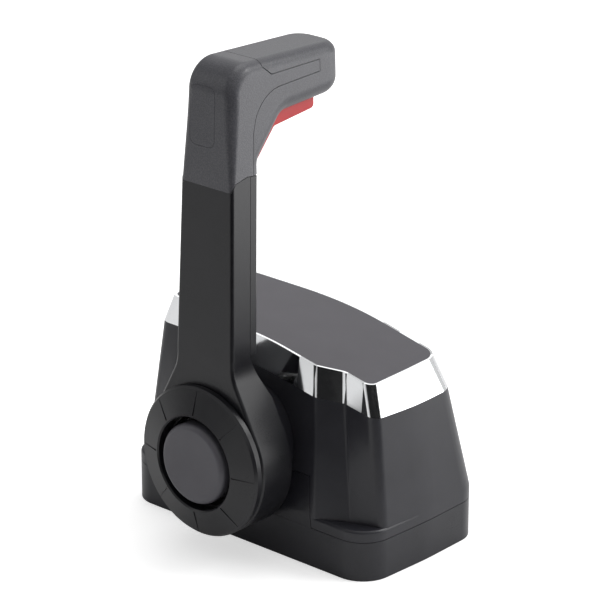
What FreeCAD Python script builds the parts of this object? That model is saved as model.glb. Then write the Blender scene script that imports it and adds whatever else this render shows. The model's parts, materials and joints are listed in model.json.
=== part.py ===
import FreeCAD, Part
import Sketcher
import math
import os
import re

# A top-mounted single-lever throttle and gear control.
# Frame: +Z up from the console, +X towards the low end of the housing, -Y towards the lever.
# The origin is the middle of the housing's underside. All sizes are in millimetres.

Vector = FreeCAD.Vector
Placement = FreeCAD.Placement
Rotation = FreeCAD.Rotation

doc = FreeCAD.newDocument("ThrottleControl")
sheet = doc.addObject("Spreadsheet::Sheet", "Sizes")

SIZES = (
    # Housing
    ("corner_half_length", 80.4),
    ("end_half_length", 81.9),
    ("base_half_width", 44.0),
    ("base_corner_radius", 16.0),
    ("base_height", 20.3),
    ("wall", 3.0),
    ("floor_thickness", 4.0),
    ("parting_gap", 0.3),
    ("shelf_height", 26.5),
    ("cheek_height", 46.0),
    ("cheek_low_half_width", 45.5),
    ("cheek_high_half_width", 41.8),
    ("cable_opening_half_length", 56.0),
    ("cable_opening_half_width", 29.0),
    ("mount_half_spacing_x", 68.0),
    ("mount_half_spacing_y", 31.0),
    ("mount_hole_radius", 2.7),
    ("cover_post_x", 70.5),
    ("cover_post_y", 14.0),
    ("cover_post_radius", 4.5),
    ("cover_post_height", 26.0),
    ("cover_screw_radius", 1.75),
    # Top of the housing, which slopes down towards +X
    ("top_slope", 5.71),
    ("high_end_setback", 7.2),
    ("trim_low_height", 89.8),
    ("trim_high_height", 104.8),
    ("deck_thickness", 3.0),
    ("trim_lip", 1.3),
    ("trim_wall", 3.0),
    ("panel_thickness", 2.4),
    ("panel_gap", 0.1),
    # Hub and shaft
    ("hub_height", 52.6),
    ("hub_boss_radius", 30.0),
    ("hub_boss_face", 46.4),
    ("boss_inner_face", 29.5),
    ("lock_plate_radius", 31.0),
    ("lock_plate_thickness", 3.0),
    ("lock_notch_half_width", 2.6),
    ("lock_notch_depth", 3.0),
    ("lock_pin_gap", 0.5),
    ("lock_screw_circle", 21.0),
    ("lock_screw_length", 8.0),
    ("lock_screw_sink", 0.6),
    ("shaft_radius", 8.0),
    ("running_clearance", 0.05),
    ("bush_wall", 2.0),
    ("bush_flange", 1.2),
    ("bush_flange_radius", 13.0),
    ("hub_bush_length", 11.4),
    ("shaft_end", 3.0),
    ("shaft_nose_radius", 6.0),
    ("hub_screw_head_radius", 8.1),
    ("hub_screw_radius", 3.0),
    ("hub_screw_length", 14.0),
    # Lever
    ("drum_radius", 38.4),
    ("drum_back", 50.4),
    ("lever_face", 71.0),
    ("foot_angle", 28.0),
    ("arm_foot_height", 108.0),
    ("arm_low_half_width", 18.6),
    ("arm_top_height", 198.0),
    ("arm_top_half_width", 16.7),
    ("arm_lean", 2.0),
    ("arm_depth", 18.1),
    ("arm_split_depth", 12.6),
    ("arm_edge_radius", 1.8),
    ("foot_bend_radius", 20.0),
    ("slope_length", 22.0),
    ("channel_half_width", 6.0),
    ("channel_front", 3.0),
    ("channel_floor", 82.0),
    ("lever_swing", 85.0),
    # Dial ring and hub button
    ("ring_radius", 38.0),
    ("ring_front", 75.7),
    ("ring_rim", 79.5),
    ("ring_hole_radius", 23.9),
    ("ring_mark_count", 8),
    ("ring_mark_width", 0.9),
    ("ring_mark_depth", 0.7),
    ("ring_undercut", 0.6),
    ("ring_bevel", 1.4),
    ("recess_radius", 23.4),
    ("recess_floor", 62.0),
    ("button_radius", 20.6),
    ("button_face", 80.8),
    ("button_depth", 7.0),
    ("button_dome_radius", 3.0),
    ("button_stem_radius", 10.5),
    ("button_travel", 3.5),
    ("button_clearance", 0.5),
    ("button_spring_radius", 5.0),
    ("spring_wire", 1.2),
    # Grip
    ("grip_top_front", 252.3),
    ("grip_top_end", 249.6),
    ("grip_reach", 13.6),
    ("grip_under_end", 224.0),
    ("grip_under_front", 221.6),
    ("grip_under_start", 29.0),
    ("neck_back", 45.4),
    ("neck_height", 196.5),
    ("neck_bend_height", 202.5),
    ("neck_bend_radius", 5.0),
    ("parting_side_depth", 2.4),
    ("parting_side_height", 196.3),
    ("parting_crest_depth", 10.5),
    ("elbow_radius", 15.0),
    ("inner_elbow_radius", 8.0),
    ("grip_taper", 0.03),
    ("grip_foot_fillet", 2.4),
    ("grip_outer_fillet", 6.0),
    ("grip_inner_fillet", 9.0),
    ("grip_end_fillet", 9.0),
    ("grip_corner_fillet", 12.0),
    ("grip_end_top_fillet", 6.5),
    ("grip_front_drop", 6.0),
    ("seam", 0.3),
    ("seam_low_depth", 14.8),
    ("seam_high_depth", 18.5),
    ("seam_knee_height", 218.0),
    ("seam_radius", 20.0),
    ("tongue_start", 39.0),
    ("tongue_end", 5.0),
    ("tongue_low_height", 236.6),
    ("tongue_low_rise", 1.6),
    ("tongue_high_height", 243.8),
    ("top_seam_rise", 4.5),
    ("top_seam", 44.5),
    ("blank_half_width", 7.9),
    ("blank_half_height", 14.6),
    ("blank_height", 226.0),
    ("blank_offset", 3.2),
    ("blank_radius", 4.0),
    ("blank_depth", 2.0),
    ("blank_clearance", 0.15),
    # Squeeze trigger
    ("trigger_half_width", 8.0),
    ("trigger_clearance", 0.4),
    ("trigger_travel", 4.0),
    ("rod_radius", 2.0),
    ("rod_setback", 61.5),
    ("trigger_end", 0.3),
    ("trigger_end_height", 217.1),
    ("trigger_root_height", 214.1),
    ("trigger_root_depth", 4.0),
    ("trigger_proud", 6.9),
    ("trigger_edge_radius", 1.6),
    ("trigger_foot_rise", 3.0),
    ("trigger_foot_height", 6.0),
    ("trigger_foot_wall", 1.0),
    ("trigger_leg_thickness", 7.0),
    ("trigger_spring_radius", 2.6),
    ("trigger_spring_length", 12.0),
    # Mechanism
    ("plate_face", 12.0),
    ("plate_thickness", 3.0),
    ("gear_module", 1.5),
    ("drive_teeth", 18),
    ("arm_teeth", 32),
    ("gear_width", 6.0),
    ("gear_setback", 21.0),
    ("gear_backlash", 0.3),
    ("stud_x", 28.0),
    ("stud_radius", 4.0),
    ("cable_arm_length", 24.0),
    ("cable_pin_radius", 2.5),
    ("cable_pin_reach", 6.0),
    ("cable_bore_radius", 3.0),
    ("clip_thickness", 1.2),
    ("cam_radius", 11.0),
    ("cam_lobe", 4.0),
    ("cam_width", 3.0),
    ("cam_gap", 0.5),
    ("plate_foot_start", 58.0),
    ("plate_foot_end", 65.5),
    ("plate_foot_depth", 4.0),
    ("plate_foot_screw_y", -2.5),
    ("plate_shoulder_x", 42.0),
    ("plate_top_half_width", 14.0),
    ("plate_top_height", 83.0),
    ("pillar_high", 76.5),
    ("pillar_low", 10.0),
    ("pillar_screw_length", 14.0),
    ("anchor_x", 50.0),
    ("anchor_width", 9.0),
    ("anchor_low", 0.6),
    ("anchor_high", 16.0),
    ("anchor_thickness", 2.5),
    ("anchor_reach", 26.5),
    ("switch_half_width", 10.0),
    ("switch_start", 26.0),
    ("switch_height", 11.0),
    ("switch_depth", 6.4),
    ("switch_plunger_radius", 1.2),
    ("switch_screw_x", 7.5),
    ("switch_screw_radius", 1.1),
    ("cover_screw_length", 26.0),
    ("pillar_radius", 5.0),
    ("screw_radius", 2.0),
    ("screw_head_radius", 3.6),
    ("screw_head_height", 2.4),
)

# Plan corners of the housing's outline, +X half: near middle, boss end, flute, near corner, end, far corner,
# far middle
OUTLINES = {
    "foot": ((0.0, -43.7), (47.0, -44.0), (64.0, -36.8), (80.4, -30.5), (81.9, 0.0), (80.4, 44.0), (0.0, 44.4)),
    "shoulder": ((0.0, -31.6), (40.5, -36.2), (54.2, -29.8), (75.4, -32.2), (77.6, -4.0), (76.0, 27.0),
                 (0.0, 37.5)),
    "crown": ((0.0, -28.8), (38.5, -33.6), (52.2, -27.8), (71.0, -30.4), (70.0, -2.0), (68.5, 24.0), (0.0, 35.5)),
}
OUTLINE_WORDS = ("front", "boss", "flute", "near", "end", "far", "back")
OUTLINE_RADII = (
    ("front_radius", 120.0),
    ("boss_radius", 6.0),
    ("flute_radius", 6.0),
    ("near_radius", 5.0),
    ("end_radius", 150.0),
    ("far_radius", 12.0),
    ("back_radius", 160.0),
)


def fill_sheet():
    """Writes every driving size to the sheet, one row each, with its name as alias."""
    rows = list(SIZES) + list(OUTLINE_RADII)
    for level, corners in OUTLINES.items():
        for word, corner in zip(OUTLINE_WORDS, corners):
            rows.append((level + "_" + word + "_x", corner[0]))
            rows.append((level + "_" + word + "_y", corner[1]))
    for index, (name, number) in enumerate(rows):
        cell = "B" + str(index + 1)
        sheet.set("A" + str(index + 1), name)
        sheet.set(cell, str(number))
        sheet.setAlias(cell, name)
    doc.recompute()


def sized(text):
    """Turns a formula in plain size names into one that any object of the document can hold."""
    return re.sub(r"\b([a-z][a-z_0-9]*)\b(?!\()", r"Sizes.\1", text)


def size(text):
    """The value of a formula in size names."""
    return float(sheet.evalExpression(sized(str(text))))


fill_sheet()


# Sketches and bodies

def body_of(label, place=("0", "0", "0")):
    """A new body, placed by three formulas."""
    body = doc.addObject("PartDesign::Body", label)
    body.Label = label
    for axis, text in zip("xyz", place):
        if text != "0":
            body.setExpression("Placement.Base." + axis, sized(text))
    return body


def plane_of(body, role):
    """One of the body's own planes or axes."""
    return [feature for feature in body.Origin.OriginFeatures if feature.Role == role][0]


def sketch_on(body, role, offset="0"):
    """An empty sketch on one of the body's own planes, raised along its normal by a formula."""
    sketch = body.newObject("Sketcher::SketchObject", body.Name + "_sketch")
    sketch.AttachmentSupport = [(plane_of(body, role), "")]
    sketch.MapMode = "FlatFace"
    if offset != "0":
        sketch.setExpression("AttachmentOffset.Base.z", sized(offset))
    return sketch


def hold(sketch, kind, line, end, text):
    """Holds one coordinate of a line's end by a formula, or on the axis where it is nought."""
    if text == "0":
        axis = -2 if kind == "DistanceX" else -1
        sketch.addConstraint(Sketcher.Constraint("PointOnObject", line, end, axis))
        return
    index = sketch.addConstraint(Sketcher.Constraint(kind, -1, 1, line, end, size(text)))
    sketch.setExpression("Constraints[%d]" % index, sized(text))


def draw_polygon(sketch, corners):
    """A closed polygon whose corners are pairs of formulas."""
    points = [Vector(size(x), size(y), 0) for x, y in corners]
    first = sketch.GeometryCount
    count = len(points)
    for index, point in enumerate(points):
        sketch.addGeometry(Part.LineSegment(point, points[(index + 1) % count]), False)
    for index in range(count):
        following = first + (index + 1) % count
        sketch.addConstraint(Sketcher.Constraint("Coincident", first + index, 2, following, 1))
    for index, (x, y) in enumerate(corners):
        hold(sketch, "DistanceX", first + index, 1, x)
        hold(sketch, "DistanceY", first + index, 1, y)


def draw_circle(sketch, radius, x="0", y="0"):
    """A circle with its radius and centre held by formulas."""
    centre = Vector(size(x), size(y), 0)
    index = sketch.addGeometry(Part.Circle(centre, Vector(0, 0, 1), size(radius)), False)
    held = sketch.addConstraint(Sketcher.Constraint("Radius", index, size(radius)))
    sketch.setExpression("Constraints[%d]" % held, sized(radius))
    hold(sketch, "DistanceX", index, 3, x)
    hold(sketch, "DistanceY", index, 3, y)


def pad(body, sketch, length, back=False, middle=False):
    feature = body.newObject("PartDesign::Pad", body.Name + "_pad")
    feature.Profile = sketch
    feature.setExpression("Length", sized(length))
    feature.Reversed = back
    feature.Midplane = middle
    return feature


def pocket(body, sketch, length, back=False, middle=False):
    """Cuts the sketch out of the body and checks that something was cut."""
    doc.recompute()
    before = body.Tip.Shape.Volume
    feature = body.newObject("PartDesign::Pocket", body.Name + "_pocket")
    feature.Profile = sketch
    feature.setExpression("Length", sized(length))
    feature.Reversed = back
    feature.Midplane = middle
    doc.recompute()
    if feature.Shape.Volume >= before - 1e-6:
        raise RuntimeError(feature.Label + " cuts nothing")
    return feature


def turned(label, profile, place, outward=True):
    """A turned piece: pairs of radius and distance along its axis. The axis runs along -Y, or up +Z."""
    body = body_of(label, place)
    sketch = sketch_on(body, "XZ_Plane")
    draw_polygon(sketch, profile)
    feature = body.newObject("PartDesign::Revolution", label + "_turning")
    feature.Profile = sketch
    feature.ReferenceAxis = (sketch, ["V_Axis"])
    feature.Angle = 360
    if outward:
        body.Placement = Placement(body.Placement.Base, Rotation(Vector(1, 0, 0), 90))
    return body


def rounded(body, base, edges, radius):
    """Rounds the edges that a test picks on the base feature."""
    doc.recompute()
    names = ["Edge%d" % (index + 1) for index, edge in enumerate(base.Shape.Edges) if edges(edge)]
    feature = body.newObject("PartDesign::Fillet", body.Name + "_fillet")
    feature.Base = (base, names)
    feature.setExpression("Radius", sized(radius))
    return feature


def joined(label, kind, *pieces):
    """A boolean of finished pieces: Part::MultiFuse, Part::Cut or Part::MultiCommon."""
    result = doc.addObject(kind, label)
    result.Label = label
    if kind == "Part::Cut":
        result.Base, result.Tool = pieces
    else:
        result.Shapes = list(pieces)
    return result


# Outlines of straight lines and tangent arcs

def outline_corners(level):
    """All corners of the housing's outline at one level, anticlockwise, each with its radius."""
    right = []
    for word in OUTLINE_WORDS:
        x = size(level + "_" + word + "_x")
        y = size(level + "_" + word + "_y")
        radius = "base_corner_radius" if level == "foot" and word == "far" else word + "_radius"
        right.append((x, y, size(radius)))
    drawn_in = 0 if level == "foot" else size("high_end_setback")
    left = []
    for word, (x, y, radius) in reversed(list(zip(OUTLINE_WORDS, right))[1:-1]):
        back = drawn_in if word in ("near", "end", "far") else 0
        left.append((back - x, y, radius))
    return right + left


def turn_at(before, corner, after):
    """The angle by which an outline turns at a corner, positive to the left."""
    ax, ay = corner[0] - before[0], corner[1] - before[1]
    bx, by = after[0] - corner[0], after[1] - corner[1]
    return math.atan2(ax * by - ay * bx, ax * bx + ay * by)


def inset(corners, distance):
    """The same outline moved inwards by a distance, with its radii kept concentric."""
    count = len(corners)
    moved = []
    for index, corner in enumerate(corners):
        before = corners[index - 1]
        after = corners[(index + 1) % count]
        turn = turn_at(before, corner, after)
        heading = math.atan2(corner[1] - before[1], corner[0] - before[0]) + turn / 2
        reach = distance / math.cos(turn / 2)
        x = corner[0] - reach * math.sin(heading)
        y = corner[1] + reach * math.cos(heading)
        radius = corner[2] - distance if turn > 0 else corner[2] + distance
        moved.append((x, y, max(radius, 0.6)))
    return moved


def tangent_edges(corners):
    """Lines and arcs that round each corner of an outline by its own radius."""
    count = len(corners)
    edges = []
    starts = []
    arcs = []
    for index, corner in enumerate(corners):
        before = corners[index - 1]
        after = corners[(index + 1) % count]
        point = Vector(corner[0], corner[1], 0)
        inward = (Vector(before[0], before[1], 0) - point).normalize()
        onward = (Vector(after[0], after[1], 0) - point).normalize()
        half = abs(turn_at(before, corner, after)) / 2
        first = point + inward * (corner[2] * math.tan(half))
        last = point + onward * (corner[2] * math.tan(half))
        bisector = (inward + onward).normalize()
        middle = point + bisector * (corner[2] / math.cos(half) - corner[2])
        arcs.append(Part.Arc(first, middle, last))
        starts.append((first, last))
    for index in range(count):
        edges.append(arcs[index])
        edges.append(Part.LineSegment(starts[index][1], starts[(index + 1) % count][0]))
    return edges


def outline_sketch(body, corners, height, sloped=False):
    """A sketch of an outline on a level plane, or on one that slopes as the housing's top does."""
    sketch = body.newObject("Sketcher::SketchObject", body.Name + "_outline")
    sketch.AttachmentSupport = [(plane_of(body, "XY_Plane"), "")]
    sketch.MapMode = "FlatFace"
    angle = size("top_slope") if sloped else 0
    stretch = 1 / math.cos(math.radians(angle))
    sketch.AttachmentOffset = Placement(Vector(0, 0, 0), Rotation(Vector(0, 1, 0), angle))
    sketch.setExpression("AttachmentOffset.Base.z", sized(height))
    sketch.addGeometry(tangent_edges([(x * stretch, y, radius) for x, y, radius in corners]), False)
    return sketch


def loft(body, sections, cutting=False):
    kind = "PartDesign::SubtractiveLoft" if cutting else "PartDesign::AdditiveLoft"
    feature = body.newObject(kind, body.Name + "_loft")
    feature.Profile = sections[0]
    feature.Sections = sections[1:]
    feature.Ruled = True
    return feature


# Housing

def base_corners():
    """The base's own outline: a rectangle with round corners and slightly bowed ends."""
    x = size("corner_half_length")
    y = size("base_half_width")
    bow = size("end_half_length")
    corner = size("base_corner_radius")
    end = size("end_radius")
    right = [(x, -y, corner), (bow, 0, end), (x, y, corner)]
    left = [(-across, along, radius) for across, along, radius in reversed(right)]
    return right + [(0, size("foot_back_y"), size("back_radius"))] + left


def housing_form(label, thickness):
    """The housing's walls as one closed form: a skirt up to the shelf, then drafted and fluted walls."""
    body = body_of(label)
    foot = inset(outline_corners("foot"), thickness)
    shoulder = inset(outline_corners("shoulder"), thickness)
    low = outline_sketch(body, foot, "0" if thickness == 0 else "floor_thickness")
    top = "shelf_height" if thickness == 0 else "shelf_height - wall"
    skirt = pad(body, low, top if thickness == 0 else top + " - floor_thickness")
    deck = "trim_low_height" if thickness == 0 else "trim_low_height - deck_thickness"
    loft(body, [outline_sketch(body, foot, top), outline_sketch(body, shoulder, deck, True)])
    doc.recompute()
    if skirt.Shape.Volume <= 0:
        raise RuntimeError("the skirt is empty")
    return body


def lip_form(label, thickness, low, high):
    """The base outline as a plain prism between two levels."""
    body = body_of(label)
    sketch = outline_sketch(body, inset(base_corners(), thickness), low)
    pad(body, sketch, "(" + high + ") - (" + low + ")")
    return body


def corner_lips():
    """The cover's shelf in front of each flute, with its upper edge rounded over."""
    body = body_of("corner_lips")
    sketch = outline_sketch(body, base_corners(), "base_height")
    lip = pad(body, sketch, "shelf_height - base_height")
    top = size("shelf_height")

    def upper(edge):
        return edge.BoundBox.ZMin > top - 0.01

    rounded(body, lip, upper, "1.6")
    return body


def near_box(label, low, high, half_width):
    """A block in front of the near wall, from which the flute shelves are taken."""
    body = body_of(label)
    sketch = sketch_on(body, "XZ_Plane", "wall * 2")
    edge = half_width
    draw_polygon(sketch, ((edge, low), ("end_half_length * 1.2", low), ("end_half_length * 1.2", high), (edge, high)))
    draw_polygon(sketch, (("-(" + edge + ")", low), ("-(" + edge + ")", high),
                          ("-end_half_length * 1.2", high), ("-end_half_length * 1.2", low)))
    pad(body, sketch, "base_half_width * 2")
    return body


def cheek_tool(label, gap):
    """The part of the near wall that belongs to the base: a low trapezium and the round hub boss."""
    body = body_of(label)
    sketch = sketch_on(body, "XZ_Plane", "wall * 2")
    low = "base_height - wall"
    draw_polygon(sketch, (
        ("-cheek_low_half_width - " + gap, low),
        ("cheek_low_half_width + " + gap, low),
        ("cheek_high_half_width + " + gap, "cheek_height + " + gap),
        ("-cheek_high_half_width - " + gap, "cheek_height + " + gap),
    ))
    pad(body, sketch, "base_half_width * 2")
    disc = sketch_on(body, "XZ_Plane", "wall * 2")
    draw_circle(disc, "hub_boss_radius + " + gap, "0", "hub_height")
    pad(body, disc, "base_half_width * 2")
    return body


def hub_boss():
    """The round boss that carries the shaft on the near side."""
    body = body_of("hub_boss")
    sketch = sketch_on(body, "XZ_Plane", "hub_boss_face")
    draw_circle(sketch, "hub_boss_radius", "0", "hub_height")
    pad(body, sketch, "hub_boss_face - boss_inner_face", back=True)
    return body


def hub_bore():
    body = body_of("hub_bore")
    sketch = sketch_on(body, "XZ_Plane", "wall")
    draw_circle(sketch, "shaft_radius + bush_wall", "0", "hub_height")
    pad(body, sketch, "base_half_width * 2")
    return body


def posts(label, radius, low, high):
    """Four round posts near the ends, which the cover screws run through."""
    body = body_of(label)
    sketch = sketch_on(body, "XY_Plane", low)
    for side in ("", "-"):
        for end in ("", "-"):
            draw_circle(sketch, radius, side + "cover_post_x", end + "cover_post_y")
    pad(body, sketch, "(" + high + ") - (" + low + ")")
    return body


def mount_holes():
    body = body_of("mount_holes")
    sketch = sketch_on(body, "XY_Plane", "-wall")
    for side in ("", "-"):
        for end in ("", "-"):
            draw_circle(sketch, "mount_hole_radius", side + "mount_half_spacing_x", end + "mount_half_spacing_y")
    pad(body, sketch, "wall * 2 + floor_thickness")
    return body


def cable_opening():
    """The opening in the base's floor through which the cables leave downwards."""
    body = body_of("cable_opening")
    corners = (
        ("cable_opening_half_length", "-cable_opening_half_width"),
        ("cable_opening_half_length", "cable_opening_half_width"),
        ("-cable_opening_half_length", "cable_opening_half_width"),
        ("-cable_opening_half_length", "-cable_opening_half_width"),
    )
    sketch = sketch_on(body, "XY_Plane", "-wall")
    draw_polygon(sketch, corners)
    block = pad(body, sketch, "wall * 2 + floor_thickness")

    def upright(edge):
        return edge.BoundBox.ZLength > 1

    rounded(body, block, upright, "wall * 2")
    return body


def base_taps():
    """Screw holes in the boss for the lock plate and in the floor for the mechanism plate's feet."""
    body = body_of("base_taps")
    boss = sketch_on(body, "XZ_Plane", "boss_inner_face + wall")
    for angle in lock_screw_angles():
        draw_circle(boss, "screw_radius", "lock_screw_circle * cos(%d)" % angle,
                    "hub_height + lock_screw_circle * sin(%d)" % angle)
    pad(body, boss, "hub_boss_face")
    floor = body_of("floor_taps")
    sketch = sketch_on(floor, "XY_Plane", "-wall")
    for side in ("", "-"):
        draw_circle(sketch, "screw_radius", side + "(plate_foot_start + plate_foot_end) / 2", "plate_foot_screw_y")
    pad(floor, sketch, "wall * 2 + floor_thickness")
    return joined("screw_taps", "Part::MultiFuse", body, floor)


def low_block():
    """Everything below the parting line between base and cover."""
    block = doc.addObject("Part::Box", "low_block")
    block.setExpression("Length", sized("end_half_length * 4"))
    block.setExpression("Width", sized("base_half_width * 4"))
    block.setExpression("Height", sized("base_height * 2 + parting_gap"))
    block.setExpression("Placement.Base.x", sized("-end_half_length * 2"))
    block.setExpression("Placement.Base.y", sized("-base_half_width * 2"))
    block.setExpression("Placement.Base.z", sized("-base_height"))
    return block


def cover_ribs():
    """Webs that tie the cover's screw posts to its end walls."""
    body = body_of("cover_ribs")
    sketch = sketch_on(body, "XY_Plane", "base_height")
    for side in ("", "-"):
        for end in ("", "-"):
            inner = side + "(cover_post_x)"
            outer = side + "(end_half_length + wall)"
            low = end + "(cover_post_y - cover_screw_radius)"
            high = end + "(cover_post_y + cover_screw_radius)"
            draw_polygon(sketch, ((inner, low), (outer, low), (outer, high), (inner, high)))
    pad(body, sketch, "cover_post_height")
    return body


def make_housing():
    outside = housing_form("housing_outside", 0)
    inside = housing_form("housing_inside", size("wall"))
    lips = joined("flute_lips", "Part::MultiCommon", corner_lips(),
                  near_box("flute_fronts", "base_height / 2", "shelf_height + wall", "foot_boss_x - wall"))
    outer = joined("outer_form", "Part::MultiFuse", outside, lips)
    inner_posts = posts("cover_posts", "cover_post_radius", "base_height", "base_height + cover_post_height")
    post_group = joined("post_group", "Part::MultiFuse", inner_posts, cover_ribs())
    post_form = joined("post_form", "Part::MultiCommon", post_group, outside)
    walls = joined("cover_walls", "Part::Cut", outer, inside)
    full = joined("cover_full", "Part::MultiFuse", walls, post_form)
    bores = posts("cover_bores", "cover_screw_radius", "0", "base_height + cover_post_height - wall")
    away = joined("cover_away", "Part::MultiFuse", low_block(), cheek_tool("cheek_gap", "parting_gap"), bores)
    cover = joined("upper_cover", "Part::Cut", full, away)

    skirt = lip_form("base_skirt", 0, "0", "base_height")
    hollow = lip_form("base_hollow", size("wall"), "floor_thickness", "base_height + wall")
    cheek = joined("cheek_form", "Part::MultiCommon", outside, cheek_tool("cheek_block", "0"))
    tray = joined("base_tray", "Part::Cut", skirt, hollow)
    stubs = posts("base_stubs", "cover_post_radius", "floor_thickness / 2", "base_height")
    solid = joined("cheek_wall", "Part::Cut", cheek, inside)
    whole = joined("base_whole", "Part::MultiFuse", tray, solid, hub_boss(), stubs)
    clear = posts("base_clear_holes", "cover_screw_radius + running_clearance * 4", "-wall", "base_height + wall")
    heads = posts("base_head_holes", "screw_head_radius + running_clearance * 4", "-wall", "screw_head_height * 1.25")
    cuts = joined("base_cuts", "Part::MultiFuse", hub_bore(), mount_holes(), cable_opening(), clear, heads,
                  base_taps())
    base = joined("base_housing", "Part::Cut", whole, cuts)
    return [base, cover]


def make_trim():
    """The plated band on the cover's shoulder and the panel let into its top."""
    shoulder = outline_corners("shoulder")
    crown = outline_corners("crown")
    band = body_of("trim_band")
    loft(band, [outline_sketch(band, shoulder, "trim_low_height", True),
                outline_sketch(band, crown, "trim_high_height", True)])
    depth = size("trim_wall")
    doc.recompute()
    hollow = [outline_sketch(band, inset(shoulder, depth), "trim_low_height", True),
              outline_sketch(band, inset(crown, depth), "trim_high_height", True)]
    loft(band, hollow, cutting=True)
    doc.recompute()
    seat = outline_sketch(band, inset(crown, size("trim_lip")), "trim_high_height - panel_thickness", True)
    pocket(band, seat, "panel_thickness * 2", back=True)
    panel = body_of("top_panel")
    edge = inset(crown, size("trim_lip + panel_gap"))
    plate = outline_sketch(panel, edge, "trim_high_height - panel_thickness", True)
    pad(panel, plate, "panel_thickness * cos(top_slope)")
    return [band, panel]


# Lever

def foot_edges():
    """The lever's foot seen from the front: the drum's circle, two tangent flares and the arm's root."""
    hub = size("hub_height")
    radius = size("drum_radius")
    angle = math.radians(size("foot_angle"))
    half = size("arm_low_half_width")
    top = size("arm_foot_height")
    touch = Vector(radius * math.cos(angle), hub + radius * math.sin(angle), 0)
    bend_height = touch.y + (touch.x - half) / math.tan(angle)
    reach = size("foot_bend_radius") * math.tan(angle / 2)
    low = Vector(half + reach * math.sin(angle), bend_height - reach * math.cos(angle), 0)
    high = Vector(half, bend_height + reach, 0)
    centre = Vector(half + size("foot_bend_radius"), high.y, 0)
    towards = (Vector(half, bend_height, 0) - centre).normalize()
    middle = centre + towards * size("foot_bend_radius")

    def other(point):
        return Vector(-point.x, point.y, 0)

    corner = Vector(half, top, 0)
    return [
        Part.Arc(other(touch), Vector(0, hub - radius, 0), touch),
        Part.LineSegment(touch, low),
        Part.Arc(low, middle, high),
        Part.LineSegment(high, corner),
        Part.LineSegment(corner, other(corner)),
        Part.LineSegment(other(corner), other(high)),
        Part.Arc(other(high), other(middle), other(low)),
        Part.LineSegment(other(low), other(touch)),
    ]


def face_at(height):
    """How far along Y the lever's leaning outer face lies at one height."""
    return -size("lever_face") + (height - size("arm_foot_height")) * math.tan(math.radians(size("arm_lean")))


def arm_section(body, height, shallow, deep):
    """A level rectangle of the arm between two depths behind its leaning face."""
    half = ("arm_low_half_width + (arm_top_half_width - arm_low_half_width)"
            " * ((" + height + ") - arm_foot_height) / (arm_top_height - arm_foot_height)")
    face = "(-lever_face + ((" + height + ") - arm_foot_height) * tan(arm_lean))"
    sketch = sketch_on(body, "XY_Plane", height)
    near = face + " + " + shallow
    far = face + " + " + deep
    draw_polygon(sketch, ((half, near), (half, far), ("-(" + half + ")", far), ("-(" + half + ")", near)))
    return sketch


def make_lever_shell():
    """The lever's foot drum and arm in one moulding, with its button recess and the rod's channel."""
    body = body_of("lever_shell")
    foot = sketch_on(body, "XZ_Plane", "drum_back")
    foot.addGeometry(foot_edges(), False)
    pad(body, foot, "lever_face - drum_back")
    slope = sketch_on(body, "YZ_Plane")
    behind = "-lever_face + arm_split_depth"
    draw_polygon(slope, (
        ("-drum_back + wall", "arm_foot_height - slope_length"),
        ("-drum_back + wall", "arm_foot_height + wall"),
        (behind, "arm_foot_height + wall"),
        (behind, "arm_foot_height"),
        ("-drum_back", "arm_foot_height - slope_length"),
    ))
    pocket(body, slope, "drum_radius * 3", middle=True)
    arm = loft(body, [arm_section(body, "arm_foot_height", "0", "arm_split_depth"),
                      arm_section(body, "arm_top_height", "0", "arm_split_depth")])
    doc.recompute()
    hub = size("hub_height")
    face = size("lever_face")
    drum = size("drum_radius")

    def front_edge(edge):
        box = edge.BoundBox
        middle = edge.CenterOfMass
        along = box.ZLength > 1 and box.YMax < -face + 5
        return along and middle.z > hub + 5 and math.hypot(middle.x, middle.z - hub) > drum - 3

    rounded(body, arm, front_edge, "arm_edge_radius")
    doc.recompute()
    channel = sketch_on(body, "XY_Plane", "channel_floor")
    draw_polygon(channel, (
        ("channel_half_width", "-rod_setback - channel_front"),
        ("channel_half_width", "-drum_back + wall"),
        ("-channel_half_width", "-drum_back + wall"),
        ("-channel_half_width", "-rod_setback - channel_front"),
    ))
    pocket(body, channel, "arm_top_height", back=True)
    recess = sketch_on(body, "XZ_Plane", "recess_floor")
    draw_circle(recess, "recess_radius", "0", "hub_height")
    pocket(body, recess, "lever_face - recess_floor + wall", back=True)
    bore = sketch_on(body, "XZ_Plane", "drum_back - wall")
    draw_circle(bore, "shaft_nose_radius", "0", "hub_height")
    pocket(body, bore, "recess_floor - drum_back + wall * 2", back=True)
    cap = sketch_on(body, "YZ_Plane")
    line = [Vector(y, z - size("seam"), 0) for y, z in parting_line()]
    line[0] = line[0] + (line[0] - line[1])
    top = size("arm_top_height * 1.1")
    points = line + [Vector(line[-1].x, top, 0), Vector(line[0].x, top, 0)]
    for index, point in enumerate(points):
        cap.addGeometry(Part.LineSegment(point, points[(index + 1) % len(points)]), False)
    pocket(body, cap, "arm_low_half_width * 3", middle=True)
    return body


def parting_line():
    """Where the grip meets the lever, from the outer face to the neck's back, as pairs of y and z."""
    foot = size("arm_top_height - grip_front_drop")
    side = size("parting_side_height")
    crest = size("arm_top_height")
    return [
        (face_at(foot), foot),
        (face_at(side) + size("parting_side_depth"), side),
        (face_at(crest) + size("parting_crest_depth"), crest),
        (-size("neck_back"), size("neck_height")),
    ]


def parting_height(y):
    """The parting's height at one depth."""
    line = parting_line()
    for first, last in zip(line, line[1:]):
        if first[0] <= y <= last[0]:
            return first[1] + (last[1] - first[1]) * (y - first[0]) / (last[0] - first[0])
    return line[-1][1]


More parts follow.
